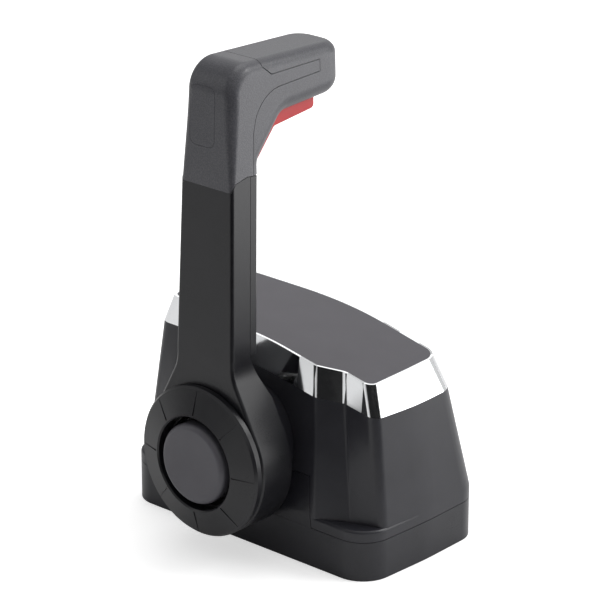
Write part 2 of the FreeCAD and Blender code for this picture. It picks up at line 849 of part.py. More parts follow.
def make_back_cover():
    """The strip that closes the arm's back above the foot."""
    low = size("arm_foot_height + parting_gap")
    high = size("neck_height")
    shallow = size("arm_split_depth + parting_gap")
    deep = size("arm_depth")
    near = face_at(high) + shallow
    far = face_at(high) + deep
    corners = [
        (face_at(low) + shallow, low, 0),
        (face_at(low) + deep, low, 0),
        (far, parting_height(far) - size("seam"), 0),
        (near, parting_height(near) - size("seam"), 0),
    ]
    strip = joined("back_cover_block", "Part::MultiCommon",
                   side_prism("back_cover_side", corners, "arm_low_half_width * 1.5"), arm_taper())

    def radius_of(edge):
        middle = edge.CenterOfMass
        behind = middle.y - face_at(middle.z) > size("arm_depth") - 0.5
        return "arm_edge_radius" if behind and edge.BoundBox.ZLength > 10 else None

    return part_fillet("lever_back_cover", strip, radius_of)


def arm_taper():
    """The arm's outline from the front, as a wedge that narrows upwards."""
    body = body_of("arm_front_outline")
    sketch = sketch_on(body, "XZ_Plane")
    draw_polygon(sketch, (
        ("arm_low_half_width", "arm_foot_height"),
        ("arm_top_half_width", "arm_top_height"),
        ("-arm_top_half_width", "arm_top_height"),
        ("-arm_low_half_width", "arm_foot_height"),
    ))
    pad(body, sketch, "lever_face * 1.2")
    return body


def make_dial_ring():
    """The bevelled ring on the lever's foot, with one mark at each eighth of a turn."""
    rise = "(ring_front - lever_face)"
    rim = "(ring_rim - lever_face)"
    body = turned("dial_ring", (
        ("ring_hole_radius", "0"),
        ("drum_radius - ring_undercut", "0"),
        ("drum_radius - ring_undercut", "ring_undercut"),
        ("drum_radius", "ring_undercut"),
        ("drum_radius", rise + " - ring_bevel"),
        ("ring_radius - ring_bevel / 2", rise),
        ("ring_hole_radius + ring_bevel / 2", rim),
        ("ring_hole_radius", rim + " - ring_bevel / 2"),
    ), ("0", "-lever_face", "hub_height"))
    cut = sketch_on(body, "YZ_Plane")
    low = rise + " - ring_mark_depth"
    high = rim + " - ring_mark_depth"
    draw_polygon(cut, (
        ("ring_radius + ring_bevel", low),
        ("ring_radius + ring_bevel", high + " + ring_bevel"),
        ("ring_hole_radius + ring_bevel", high + " + ring_bevel"),
        ("ring_hole_radius + ring_bevel", high),
    ))
    groove = pocket(body, cut, "ring_mark_width", middle=True)
    pattern = body.newObject("PartDesign::PolarPattern", "ring_marks")
    pattern.Originals = [groove]
    pattern.Axis = (plane_of(body, "Z_Axis"), [""])
    pattern.Angle = 360
    pattern.setExpression("Occurrences", sized("ring_mark_count"))
    body.Tip = pattern
    return body


def make_button():
    """The round push button in the hub, its guide sleeve and its return spring."""
    place = ("0", "-recess_floor", "hub_height")
    rise = "(button_face - recess_floor)"
    back = "(button_face - recess_floor - button_depth)"
    button = turned("hub_button", (
        ("button_stem_radius - bush_wall", "button_travel + button_clearance"),
        ("button_stem_radius", "button_travel + button_clearance"),
        ("button_stem_radius", back),
        ("button_radius", back),
        ("button_radius", rise),
        ("0", rise),
        ("0", rise + " - wall"),
        ("button_stem_radius - bush_wall", rise + " - wall"),
    ), place)
    doc.recompute()
    face = size(rise)

    def rim(edge):
        box = edge.BoundBox
        return box.ZMin > face - 0.01 and box.XLength > 5

    rounded(button, button.Tip, rim, "button_dome_radius")
    inner = "button_stem_radius + running_clearance"
    guide = turned("button_guide", (
        (inner, "0"),
        (inner + " + bush_wall", "0"),
        (inner + " + bush_wall", back + " - button_travel - button_clearance"),
        (inner, back + " - button_travel - button_clearance"),
    ), place)
    seat = "recess_floor + screw_head_height"
    spring = coil("button_spring", "button_spring_radius", "button_face - wall - (" + seat + ")", 4)
    spring.Placement = Placement(Vector(0, -size(seat), size("hub_height")), Rotation(Vector(1, 0, 0), 90))
    return [button, guide, spring]


def coil(label, radius, length, turns):
    """A compression spring along Z from the origin: a helix of round wire."""
    wire = size("spring_wire") / 2
    margin = wire * 2.2
    rise = size(length) - margin * 2
    helix = Part.makeHelix(rise / turns, rise, size(radius))
    helix.translate(Vector(0, 0, margin))
    profile = Part.Wire(Part.Circle(Vector(size(radius), 0, margin), Vector(0, 1, 0), wire).toShape())
    solid = Part.Wire(helix.Edges).makePipeShell([profile], True, True)
    spring = doc.addObject("Part::Feature", label)
    spring.Label = label
    spring.Shape = solid
    return spring


def screw(label, places, length, direction=Vector(0, 0, 1), shank="screw_radius", head="screw_head_radius"):
    """Cap-head screws as one group: each place is the seat under its head, the shank runs along direction."""
    pieces = []
    for place in places:
        seat = Vector(*[size(text) for text in place])
        shaft = Part.makeCylinder(size(shank), size(length), seat, direction)
        cap = Part.makeCylinder(size(head), size("screw_head_height"), seat, direction * -1)
        hexagon = Part.makePolygon([
            seat - direction * size("screw_head_height") + turned_vector(direction, size(shank), index * 60)
            for index in range(7)
        ])
        socket = Part.Face(hexagon).extrude(direction * (size("screw_head_height") * 0.6))
        pieces.append(shaft.fuse(cap).cut(socket))
    group = doc.addObject("Part::Feature", label)
    group.Label = label
    group.Shape = pieces[0] if len(pieces) == 1 else Part.makeCompound(pieces)
    return group


def turned_vector(axis, length, angle):
    """A vector square to an axis, turned about it."""
    start = Vector(1, 0, 0) if abs(axis.x) < 0.5 else Vector(0, 1, 0)
    return Rotation(axis, angle).multVec(start * length)


# Grip

def grip_lines():
    """The grip's outline from the side, as corners of y and z with their radii."""
    top_face = face_at(size("grip_top_front"))
    parting = [(y, z, 0) for y, z in parting_line()]
    return parting + [
        (-size("neck_back"), size("neck_bend_height"), size("neck_bend_radius")),
        (size("-grip_under_start"), size("grip_under_front"), size("inner_elbow_radius")),
        (size("grip_reach"), size("grip_under_end"), 0),
        (size("grip_reach"), size("grip_top_end"), 0),
        (top_face, size("grip_top_front"), size("elbow_radius")),
    ]


def side_outline(corners):
    """Edges of a side outline in which a radius of nought leaves the corner sharp."""
    count = len(corners)
    ends = []
    edges = []
    for index, corner in enumerate(corners):
        point = Vector(corner[0], corner[1], 0)
        if corner[2] == 0:
            ends.append((point, point))
            continue
        before = Vector(*corners[index - 1][:2], 0)
        after = Vector(*corners[(index + 1) % count][:2], 0)
        inward = (before - point).normalize()
        onward = (after - point).normalize()
        half = (math.pi - inward.getAngle(onward)) / 2
        first = point + inward * (corner[2] * math.tan(half))
        last = point + onward * (corner[2] * math.tan(half))
        middle = point + (inward + onward).normalize() * (corner[2] / math.cos(half) - corner[2])
        edges.append(Part.Arc(first, middle, last))
        ends.append((first, last))
    for index in range(count):
        edges.append(Part.LineSegment(ends[index][1], ends[(index + 1) % count][0]))
    return edges


def side_prism(label, corners, half_width):
    """A side outline carried evenly to both sides of the lever's middle plane."""
    body = body_of(label)
    sketch = sketch_on(body, "YZ_Plane")
    sketch.addGeometry(side_outline(corners), False)
    pad(body, sketch, "2 * (" + half_width + ")", middle=True)
    return body


def front_taper():
    """The grip's outline from the front, a tall wedge that narrows upwards."""
    body = body_of("grip_front_outline")
    sketch = sketch_on(body, "XZ_Plane", "-grip_reach * 2")
    low = "arm_top_half_width + grip_taper * arm_top_height / 4"
    high = "arm_top_half_width - grip_taper * arm_top_height * 3 / 8"
    foot = "arm_top_height * 3 / 4"
    top = "arm_top_height * 11 / 8"
    draw_polygon(sketch, ((low, foot), (high, top), ("-(" + high + ")", top), ("-(" + low + ")", foot)))
    pad(body, sketch, "lever_face + grip_reach * 4")
    return body


def part_fillet(label, base, radius_of):
    """Rounds the edges of a finished piece, each by the size that a test names for it."""
    doc.recompute()
    result = doc.addObject("Part::Fillet", label)
    result.Label = label
    result.Base = base
    amounts = []
    for index, edge in enumerate(base.Shape.Edges):
        names = radius_of(edge)
        if not names:
            continue
        low, high = (names, names) if isinstance(names, str) else names
        if edge.Vertexes[0].Z > edge.Vertexes[-1].Z:
            low, high = high, low
        amounts.append((index + 1, size(low), size(high)))
    result.Edges = amounts
    return result


def grip_form():
    """The whole grip before it is split: side and front outlines crossed, then rounded."""
    block = joined("grip_block", "Part::MultiCommon",
                   side_prism("grip_side", grip_lines(), "arm_low_half_width * 1.5"), front_taper())
    end = size("grip_reach")
    top = size("grip_top_end")
    foot = size("arm_top_height")
    front = -size("lever_face") + size("elbow_radius")

    def radius_of(edge):
        box = edge.BoundBox
        middle = edge.CenterOfMass
        if box.YMin > end - 0.01:
            if box.XLength < box.ZLength:
                return "grip_corner_fillet"
            return "grip_end_top_fillet" if middle.z > top - 1 else "grip_end_fillet"
        if box.XLength > 4 or box.YLength + box.ZLength < 3:
            return None
        if middle.z > foot and middle.y < front and box.ZMin < foot:
            return "grip_foot_fillet", "grip_outer_fillet"
        if middle.z > top - 1 or middle.z > foot and middle.y < front:
            return "grip_outer_fillet"
        if middle.z > foot and middle.y > -size("neck_back"):
            return "grip_inner_fillet"
        return None

    return part_fillet("grip_form", block, radius_of)


def front_region(gap):
    """What belongs to the grip's front shell: its outer face, the elbow and a tongue along each side."""
    front = -size("lever_face") * 1.3
    foot = size("arm_top_height") * 0.8
    knee = size("seam_knee_height")
    top = size("grip_top_front")
    low = size("tongue_low_height")
    high = size("tongue_high_height")
    return [
        (front, foot, 0),
        (face_at(foot) + size("seam_low_depth") + gap, foot, 0),
        (face_at(knee) + size("seam_low_depth") + gap, knee, 0),
        (face_at(low) + size("seam_high_depth") + gap, low - gap, size("seam_radius") - gap),
        (size("-tongue_end") + gap, low + size("tongue_low_rise") - gap, 0),
        (size("-tongue_end") + gap, high + gap, 0),
        (size("-tongue_start") + gap, high + gap, 2.0),
        (size("-top_seam") + gap, high + size("top_seam_rise") + gap, 0),
        (size("-top_seam") + gap, top * 1.1, 0),
        (front, top * 1.1, 0),
    ]


def trigger_lines(extra, lift):
    """The trigger from the side: a finger bar under the grip and a leg up the neck, with a foot for its rod."""
    low_end = size("trigger_end_height") - extra
    low_root = size("trigger_root_height") - extra
    roof = size("grip_under_end + trigger_root_depth") + extra + lift
    end = size("-trigger_end") + extra
    leg_low = size("arm_top_height + trigger_foot_rise") - extra
    root = size("-grip_under_start")
    slope = (size("neck_back") + root) / (size("grip_under_front") - size("neck_bend_height"))
    proud = size("trigger_proud") + extra
    leg_y = -size("neck_back") + (leg_low - size("neck_bend_height")) * slope + proud
    root_y = -size("neck_back") + (low_root - size("neck_bend_height")) * slope + proud
    back = size("-rod_setback - rod_radius - trigger_foot_wall") - extra
    foot_top = leg_low + size("trigger_foot_height") + lift + 2 * extra
    thick = size("trigger_leg_thickness") + 2 * extra
    return [
        (end, low_end, 2.5),
        (end, roof, 0),
        (root + slope * 4 - thick, roof, 0),
        (leg_y - thick, foot_top, 0),
        (back, foot_top, 0),
        (back, leg_low, 0),
        (leg_y, leg_low, 0),
        (root_y, low_root, 2.0),
    ]


def make_grip():
    """The grip's two shells with their seam, the trigger's slot and the flush blank on the outer face."""
    form = grip_form()
    slot = side_prism("trigger_slot", trigger_lines(size("trigger_clearance"), size("trigger_travel")),
                      "trigger_half_width + trigger_clearance")
    well = side_prism("spring_well", spring_well_lines(), "trigger_half_width")
    rod_hole = doc.addObject("Part::Cylinder", "rod_hole")
    rod_hole.setExpression("Radius", sized("rod_radius + trigger_clearance"))
    rod_hole.setExpression("Height", sized("trigger_foot_rise * 4"))
    rod_hole.setExpression("Placement.Base.y", sized("-rod_setback"))
    rod_hole.setExpression("Placement.Base.z", sized("arm_top_height - trigger_foot_rise * 3"))
    hollow = joined("grip_hollow", "Part::MultiFuse", slot, well, rod_hole)
    blank_outer = blank_body("face_blank_seat", "blank_clearance", "blank_depth + running_clearance")
    front_cut = joined("grip_front_cut", "Part::MultiFuse", hollow, blank_outer)
    wide = "arm_low_half_width * 1.5"
    front = joined("grip_front_form", "Part::MultiCommon", form, side_prism("front_zone", front_region(0), wide))
    shell = joined("grip_front_shell", "Part::Cut", front, front_cut)
    away = joined("grip_body_cut", "Part::MultiFuse", side_prism("front_zone_gap", front_region(size("seam")), wide),
                  hollow)
    rear = joined("grip_body", "Part::Cut", form, away)
    blank = blank_body("face_blank", "0", "blank_depth")
    flush = joined("grip_face_blank", "Part::MultiCommon", form, blank)
    return [shell, rear, flush]


def blank_body(label, extra, depth):
    """A rounded plug let into the grip's outer face."""
    body = body_of(label)
    face = "lever_face - (blank_height - arm_foot_height) * tan(arm_lean)"
    sketch = sketch_on(body, "XZ_Plane", face + " - (" + depth + ")")
    x = size("blank_half_width + " + extra)
    z = size("blank_half_height + " + extra)
    mid_x = size("-blank_offset")
    mid_z = size("blank_height")
    radius = size("blank_radius + " + extra)
    sketch.addGeometry(tangent_edges([
        (mid_x - x, mid_z - z, radius),
        (mid_x + x, mid_z - z, radius),
        (mid_x + x, mid_z + z, radius),
        (mid_x - x, mid_z + z, radius),
    ]), False)
    pad(body, sketch, "lever_face / 4")
    return body


def spring_well_lines():
    """The pocket above the trigger's foot that holds its spring."""
    foot_top = size("arm_top_height + trigger_foot_rise + trigger_foot_height")
    y = -size("rod_setback")
    half = size("trigger_spring_radius + spring_wire")
    return [
        (y - half, foot_top, 0),
        (y + half, foot_top, 0),
        (y + half, foot_top + size("trigger_spring_length"), 0),
        (y - half, foot_top + size("trigger_spring_length"), 0),
    ]


def make_trigger():
    """The red squeeze trigger, the rod that it lifts, the lock pin at the rod's foot and its spring."""
    block = side_prism("trigger_form", trigger_lines(0, 0), "trigger_half_width")
    low_edge = size("trigger_end_height") + 1

    def radius_of(edge):
        box = edge.BoundBox
        rim = box.XLength < 0.1 and box.YLength + box.ZLength > 3
        seen = box.ZMax < low_edge and box.ZLength < box.YLength * 3 and box.YMin > -size("neck_back") - 1
        return "trigger_edge_radius" if rim and seen else None

    trigger = part_fillet("neutral_lock_trigger", block, radius_of)
    pin_height = size("hub_height + lock_plate_radius + lock_pin_gap + rod_radius")
    low = pin_height - size("rod_radius") * 1.5
    high = size("arm_top_height + trigger_foot_rise")
    rod = doc.addObject("Part::Cylinder", "lock_rod")
    rod.Label = "lock_rod"
    rod.setExpression("Radius", sized("rod_radius"))
    rod.Height = high - low
    rod.Placement = Placement(Vector(0, -size("rod_setback"), low), Rotation())
    pin = doc.addObject("Part::Cylinder", "pin_form")
    pin.setExpression("Radius", sized("rod_radius"))
    pin.setExpression("Height", sized("rod_setback - hub_boss_face"))
    pin.Placement = Placement(Vector(0, -size("hub_boss_face"), pin_height), Rotation(Vector(1, 0, 0), 90))
    lock_pin = joined("lock_pin", "Part::Cut", pin, rod)
    foot_top = high + size("trigger_foot_height")
    spring = coil("trigger_spring", "trigger_spring_radius", "trigger_spring_length", 4)
    spring.Placement = Placement(Vector(0, -size("rod_setback"), foot_top), Rotation())
    return [trigger, rod, lock_pin, spring]


# Mechanism on the mechanism plate

def stud_height():
    """Height of the two studs, from the gears' centre distance."""
    distance = size("gear_module * (drive_teeth + arm_teeth) / 2")
    return size("hub_height") - math.sqrt(distance ** 2 - size("stud_x") ** 2)


def tooth_points(teeth, centre_angle):
    """One tooth's outline, root to root, as an involute from the base circle with backlash taken off."""
    module = size("gear_module")
    pitch = module * teeth / 2
    base = pitch * math.cos(math.radians(20))
    tip = pitch + module * 0.95
    root = pitch - module * 1.2
    half = math.pi / (2 * teeth) - size("gear_backlash") / (4 * pitch)
    start = math.tan(math.radians(20)) - math.radians(20)
    points = []
    steps = 5
    for step in range(steps + 1):
        radius = max(base, root) + (tip - max(base, root)) * step / steps
        roll = math.acos(min(1, base / radius))
        spread = half + start - (math.tan(roll) - roll)
        points.append((radius, spread))
    flank = [(root, points[0][1] * 1.12)] + points
    left = [(radius, centre_angle - spread) for radius, spread in flank]
    right = [(radius, centre_angle + spread) for radius, spread in reversed(flank)]
    return [Vector(radius * math.cos(angle), radius * math.sin(angle), 0) for radius, angle in left + right]


def gear_sketch(body, teeth, first_angle, count):
    """Teeth around a gear or a sector: straight roots between them, closed through the hub for a sector."""
    points = []
    for index in range(count):
        points += tooth_points(teeth, first_angle + index * 2 * math.pi / teeth)
    if count < teeth:
        points.append(Vector(0, 0, 0))
    sketch = sketch_on(body, "XZ_Plane", "gear_setback - gear_width / 2")
    for index, point in enumerate(points):
        sketch.addGeometry(Part.LineSegment(point, points[(index + 1) % len(points)]), False)
    return sketch


def make_drive_gear():
    body = body_of("drive_gear", ("0", "0", "hub_height"))
    teeth = int(size("drive_teeth"))
    pad(body, gear_sketch(body, teeth, -math.pi / 2, teeth), "gear_width")
    bore = sketch_on(body, "XZ_Plane", "gear_setback - gear_width")
    draw_circle(bore, "shaft_radius")
    pocket(body, bore, "gear_width * 2", back=True)
    return body


def make_cable_arm(label, side):
    """A toothed sector, its hub and the arm that pulls one control cable, on one stud."""
    body = body_of(label)
    body.Placement = Placement(Vector(side * size("stud_x"), 0, stud_height()), Rotation())
    drive = size("drive_teeth")
    teeth = int(size("arm_teeth"))
    rise = size("hub_height") - stud_height()
    towards_drive = math.atan2(rise, -side * size("stud_x"))
    towards_stud = towards_drive + math.pi
    drive_pitch = 2 * math.pi / drive
    offset = (towards_stud + math.pi / 2) / drive_pitch
    lead = (offset - round(offset)) * drive_pitch
    gap_angle = towards_drive + lead * drive / teeth
    half_count = int(math.ceil(size("lever_swing") * drive / 360 + 1.5))
    first = gap_angle - (half_count - 0.5) * 2 * math.pi / teeth
    pad(body, gear_sketch(body, teeth, first, 2 * half_count), "gear_width")
    hub = sketch_on(body, "XZ_Plane", "gear_setback - gear_width / 2")
    draw_circle(hub, "stud_radius * 2.2")
    pad(body, hub, "gear_width")
    arm = sketch_on(body, "XZ_Plane", "gear_setback - gear_width / 2")
    draw_polygon(arm, (
        ("0", "-stud_radius * 1.6"),
        ("%d * cable_arm_length" % side, "-cable_pin_radius * 1.8"),
        ("%d * cable_arm_length" % side, "cable_pin_radius * 1.8"),
        ("0", "stud_radius * 1.6"),
    ))
    pad(body, arm, "gear_width")
    end = sketch_on(body, "XZ_Plane", "gear_setback - gear_width / 2")
    draw_circle(end, "cable_pin_radius * 1.8", "%d * cable_arm_length" % side)
    pad(body, end, "gear_width")
    bores = sketch_on(body, "XZ_Plane", "gear_setback - gear_width")
    draw_circle(bores, "stud_radius + running_clearance")
    draw_circle(bores, "cable_pin_radius", "%d * cable_arm_length" % side)
    pocket(body, bores, "gear_width * 2", back=True)
    return body


def make_studs():
    """The pins that the two sectors turn on, and the clips that keep the sectors on them."""
    pieces = []
    for word, side in (("shift", 1), ("throttle", -1)):
        stud = turned(word + "_stud", (
            ("0", "-plate_thickness"),
            ("stud_radius", "-plate_thickness"),
            ("stud_radius", "0"),
            ("stud_radius * 1.6", "0"),
            ("stud_radius * 1.6", "gear_setback - gear_width / 2 - plate_face - running_clearance * 4"),
            ("stud_radius", "gear_setback - gear_width / 2 - plate_face - running_clearance * 4"),
            ("stud_radius", "gear_setback + gear_width / 2 - plate_face + clip_thickness * 2"),
            ("0", "gear_setback + gear_width / 2 - plate_face + clip_thickness * 2"),
        ), ("0", "0", "0"))
        seat = Vector(side * size("stud_x"), -size("plate_face"), stud_height())
        stud.Placement = Placement(seat, Rotation(Vector(1, 0, 0), 90))
        pieces.append(stud)
        clip = turned(word + "_stud_clip", (
            ("stud_radius", "0"),
            ("stud_radius * 1.6", "0"),
            ("stud_radius * 1.6", "clip_thickness"),
            ("stud_radius", "clip_thickness"),
        ), ("0", "0", "0"))
        start = size("gear_setback + gear_width / 2 + running_clearance * 4")
        clip.Placement = Placement(Vector(seat.x, -start, seat.z), Rotation(Vector(1, 0, 0), 90))
        pieces.append(clip)
        pin = turned(word + "_cable_pin", (
            ("0", "0"),
            ("cable_pin_radius", "0"),
            ("cable_pin_radius", "gear_width + cable_pin_reach"),
            ("cable_pin_radius * 1.6", "gear_width + cable_pin_reach"),
            ("cable_pin_radius * 1.6", "gear_width + cable_pin_reach + clip_thickness"),
            ("0", "gear_width + cable_pin_reach + clip_thickness"),
        ), ("0", "0", "0"))
        reach = size("gear_setback - gear_width / 2")
        arm_end = Vector(seat.x + side * size("cable_arm_length"), -reach, seat.z)
        pin.Placement = Placement(arm_end, Rotation(Vector(1, 0, 0), 90))
        pieces.append(pin)
    return pieces


def make_shaft():
    """The main shaft, its two bushes, the neutral cam, the circlip and the screw that holds the lever."""
    shaft = turned("main_shaft", (
        ("0", "shaft_end"),
        ("shaft_radius", "shaft_end"),
        ("shaft_radius", "drum_back"),
        ("shaft_nose_radius", "drum_back"),
        ("shaft_nose_radius", "recess_floor"),
        ("hub_screw_radius", "recess_floor"),
        ("hub_screw_radius", "recess_floor - hub_screw_length"),
        ("0", "recess_floor - hub_screw_length"),
    ), ("0", "0", "hub_height"))
    bore = "shaft_radius + running_clearance"
    outer = turned("outer_bush", (
        (bore, "hub_boss_face - hub_bush_length"),
        ("shaft_radius + bush_wall", "hub_boss_face - hub_bush_length"),
        ("shaft_radius + bush_wall", "hub_boss_face"),
        ("bush_flange_radius", "hub_boss_face"),
        ("bush_flange_radius", "hub_boss_face + bush_flange"),
        (bore, "hub_boss_face + bush_flange"),
    ), ("0", "0", "hub_height"))
    inner = turned("inner_bush", (
        (bore, "plate_face - plate_thickness"),
        ("shaft_radius + bush_wall", "plate_face - plate_thickness"),
        ("shaft_radius + bush_wall", "plate_face"),
        ("bush_flange_radius", "plate_face"),
        ("bush_flange_radius", "plate_face + bush_flange"),
        (bore, "plate_face + bush_flange"),
    ), ("0", "0", "hub_height"))
    cam = body_of("neutral_cam", ("0", "0", "hub_height"))
    sketch = sketch_on(cam, "XZ_Plane", "plate_face - plate_thickness - cam_gap - cam_width")
    draw_circle(sketch, "cam_radius")
    pad(cam, sketch, "cam_width")
    lobe = sketch_on(cam, "XZ_Plane", "plate_face - plate_thickness - cam_gap - cam_width")
    draw_polygon(lobe, (("0", "cam_lobe / 2"), ("0", "-cam_lobe / 2"),
                        ("cam_radius + cam_lobe / 2", "-cam_lobe / 2"), ("cam_radius + cam_lobe / 2", "cam_lobe / 2")))
    pad(cam, lobe, "cam_width")
    hole = sketch_on(cam, "XZ_Plane", "0")
    draw_circle(hole, "shaft_radius")
    pocket(cam, hole, "plate_face", back=True)
    clip_start = "plate_face - plate_thickness - cam_gap - cam_width - clip_thickness"
    clip = turned("shaft_circlip", (
        ("shaft_radius", clip_start),
        ("shaft_radius + bush_wall", clip_start),
        ("shaft_radius + bush_wall", clip_start + " + clip_thickness"),
        ("shaft_radius", clip_start + " + clip_thickness"),
    ), ("0", "0", "hub_height"))
    hub_screw = screw("hub_screw", (("0", "-recess_floor", "hub_height"),), "hub_screw_length",
                      Vector(0, 1, 0), "hub_screw_radius", "hub_screw_head_radius")
    return [shaft, outer, inner, cam, clip, hub_screw]


def make_plate():
    """The mechanism plate with its feet, its pillars from the near wall and the screws that hold it."""
    body = body_of("mechanism_plate")
    sketch = sketch_on(body, "XZ_Plane", "plate_face - plate_thickness")
    right = (
        ("plate_foot_end", "floor_thickness"),
        ("plate_foot_end", "floor_thickness * 3.5"),
        ("plate_shoulder_x", "hub_height"),
        ("plate_top_half_width", "plate_top_height"),
    )
    left = tuple(("-" + x, z) for x, z in reversed(right))
    draw_polygon(sketch, right + left)
    pad(body, sketch, "plate_thickness")
    foot = sketch_on(body, "XY_Plane", "floor_thickness")
    for side in ("", "-"):
        draw_polygon(foot, (
            (side + "plate_foot_start", "-plate_face + plate_thickness"),
            (side + "plate_foot_end", "-plate_face + plate_thickness"),
            (side + "plate_foot_end", "plate_foot_depth"),
            (side + "plate_foot_start", "plate_foot_depth"),
        ))
    pad(body, foot, "plate_thickness")
    holes = sketch_on(body, "XZ_Plane", "0")
    draw_circle(holes, "shaft_radius + bush_wall", "0", "hub_height")
    draw_circle(holes, "screw_radius", "0", "pillar_high")
    draw_circle(holes, "screw_radius", "0", "pillar_low")
    pocket(body, holes, "plate_face * 2", back=True)
    studs = sketch_on(body, "XZ_Plane", "0")
    for side in (1, -1):
        index = studs.addGeometry(Part.Circle(Vector(side * size("stud_x"), stud_height(), 0), Vector(0, 0, 1),
                                              size("stud_radius")), False)
        held = studs.addConstraint(Sketcher.Constraint("Radius", index, size("stud_radius")))
        studs.setExpression("Constraints[%d]" % held, sized("stud_radius"))
    pocket(body, studs, "plate_face * 2", back=True)
    feet = sketch_on(body, "XY_Plane", "0")
    for side in ("", "-"):
        draw_circle(feet, "screw_radius", side + "(plate_foot_start + plate_foot_end) / 2", "plate_foot_screw_y")
    pocket(body, feet, "floor_thickness * 3", back=True)
    taps = sketch_on(body, "XZ_Plane", "0")
    for side in ("", "-"):
        draw_circle(taps, "screw_radius", side + "anchor_x", "anchor_high - screw_head_radius - 1")
    for sign in (" + ", " - "):
        draw_circle(taps, "switch_screw_radius", "switch_start + switch_height / 2",
                    "hub_height" + sign + "switch_screw_x")
    pocket(body, taps, "plate_face * 2", back=True)
    return body


def make_pillars():
    """Two spacers between the near wall and the mechanism plate."""
    pieces = []
    for word, height, start in (("upper", "pillar_high", "boss_inner_face"),
                                ("lower", "pillar_low", "base_half_width - wall")):
        pieces.append(turned(word + "_pillar", (
            ("screw_radius", "plate_face"),
            ("pillar_radius", "plate_face"),
            ("pillar_radius", start),
            ("screw_radius", start),
        ), ("0", "0", height)))
    return pieces


def make_cable_anchor(label, side):
    """An angle bracket on the plate that clamps one cable's outer casing below its arm."""
    body = body_of(label)
    sketch = sketch_on(body, "YZ_Plane", "%d * anchor_x - anchor_width / 2" % side)
    draw_polygon(sketch, (
        ("-plate_face", "anchor_low + anchor_thickness"),
        ("-plate_face", "anchor_high"),
        ("-plate_face - anchor_thickness", "anchor_high"),
        ("-plate_face - anchor_thickness", "anchor_low + anchor_thickness"),
        ("-anchor_reach", "anchor_low + anchor_thickness"),
        ("-anchor_reach", "anchor_low"),
        ("-plate_face", "anchor_low"),
    ))
    pad(body, sketch, "anchor_width")
    hole = sketch_on(body, "XY_Plane", "0")
    draw_circle(hole, "cable_bore_radius", "%d * anchor_x" % side, "-gear_setback - gear_width / 2")
    pocket(body, hole, "anchor_high", back=True)
    bolt = sketch_on(body, "XZ_Plane", "0")
    draw_circle(bolt, "screw_radius", "%d * anchor_x" % side, "anchor_high - screw_head_radius - 1")
    pocket(body, bolt, "anchor_reach * 2", back=True)
    return body


def make_switch():
    """The neutral safety switch behind the plate, its plunger over the cam's lobe."""
    body = body_of("neutral_switch")
    sketch = sketch_on(body, "XZ_Plane", "plate_face - plate_thickness - switch_depth")
    draw_polygon(sketch, (
        ("switch_start", "hub_height - switch_half_width"),
        ("switch_start + switch_height", "hub_height - switch_half_width"),
        ("switch_start + switch_height", "hub_height + switch_half_width"),
        ("switch_start", "hub_height + switch_half_width"),
    ))
    pad(body, sketch, "switch_depth")
    tip = "cam_radius + cam_lobe / 2 + parting_gap"
    plunger = sketch_on(body, "YZ_Plane", tip)
    draw_circle(plunger, "switch_plunger_radius", "-plate_face + plate_thickness + cam_gap + cam_width / 2",
                "hub_height")
    pad(body, plunger, "switch_start - (" + tip + ") + switch_height / 4")
    holes = sketch_on(body, "XZ_Plane", "0")
    for sign in (" + ", " - "):
        draw_circle(holes, "switch_screw_radius", "switch_start + switch_height / 2",
                    "hub_height" + sign + "switch_screw_x")
    pocket(body, holes, "plate_face * 2", back=True)
    return body


def make_lock_plate():
    """The steel plate on the hub boss whose notch holds the lever in neutral."""
    body = body_of("neutral_lock_plate", ("0", "0", "hub_height"))
    sketch = sketch_on(body, "XZ_Plane", "hub_boss_face")
    draw_circle(sketch, "lock_plate_radius")
    draw_circle(sketch, "bush_flange_radius + parting_gap")
    pad(body, sketch, "lock_plate_thickness")
    notch = sketch_on(body, "XZ_Plane", "hub_boss_face - wall")
    draw_polygon(notch, (
        ("lock_notch_half_width", "lock_plate_radius - lock_notch_depth"),
        ("lock_notch_half_width + 1", "lock_plate_radius + wall"),
        ("-lock_notch_half_width - 1", "lock_plate_radius + wall"),
        ("-lock_notch_half_width", "lock_plate_radius - lock_notch_depth"),
    ))
    pocket(body, notch, "lock_plate_thickness * 4", back=True)
    holes = sketch_on(body, "XZ_Plane", "hub_boss_face - wall")
    for angle in lock_screw_angles():
        draw_circle(holes, "screw_radius", "lock_screw_circle * cos(%d)" % angle, "lock_screw_circle * sin(%d)" % angle)
    pocket(body, holes, "lock_plate_thickness * 4", back=True)
    seats = sketch_on(body, "XZ_Plane", "hub_boss_face + lock_screw_sink")
    for angle in lock_screw_angles():
        draw_circle(seats, "screw_head_radius + parting_gap", "lock_screw_circle * cos(%d)" % angle,
                    "lock_screw_circle * sin(%d)" % angle)
    pocket(body, seats, "lock_plate_thickness * 2", back=True)
    return body


def lock_screw_angles():
    return (-90, 30, 150)


